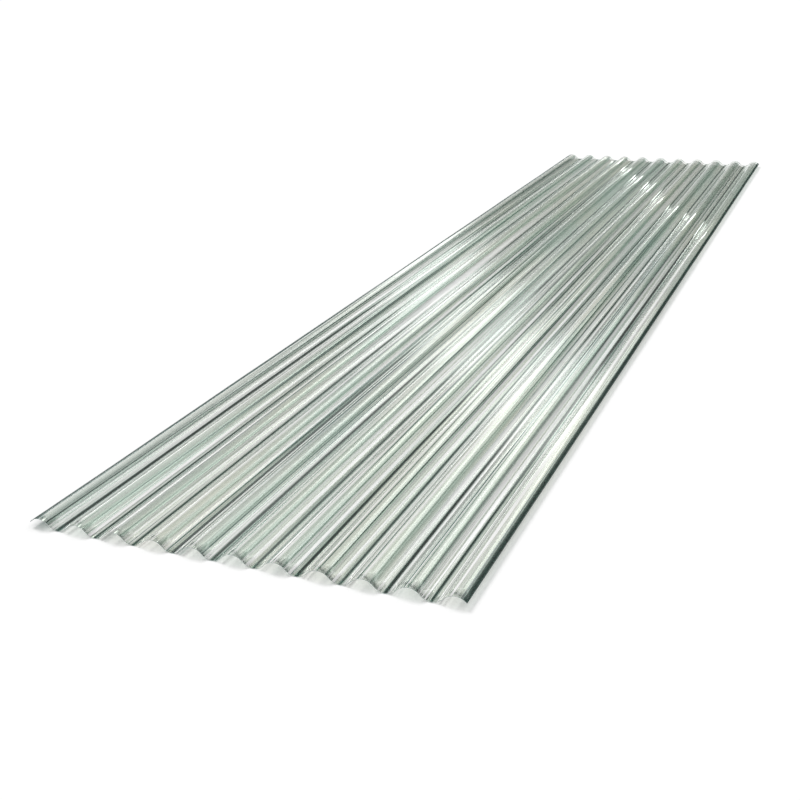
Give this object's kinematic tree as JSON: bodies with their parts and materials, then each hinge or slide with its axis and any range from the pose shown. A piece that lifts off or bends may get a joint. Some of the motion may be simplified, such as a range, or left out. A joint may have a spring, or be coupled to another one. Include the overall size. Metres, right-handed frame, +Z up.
{
  "type": "corrugated polycarbonate sheet",
  "caption": "Long clear roofing sheet with rounded corrugations running its whole length, cut square at both ends and made to overlap its neighbours.",
  "frame": {"origin": "under the middle crest, halfway along the sheet, on the level its valleys rest on", "axes": "+X across the waves, +Y along the waves (the sheet's length), +Z up, through the sheet's depth"},
  "size_m": [0.8008, 3.6, 0.018],
  "materials": {
    "clear_polycarbonate": "clear extruded polycarbonate, glossy both sides, faint grey-green tint"
  },
  "bodies": {
    "root": {"corrugated_sheet": "clear_polycarbonate"}
  },
  "joints": []
}
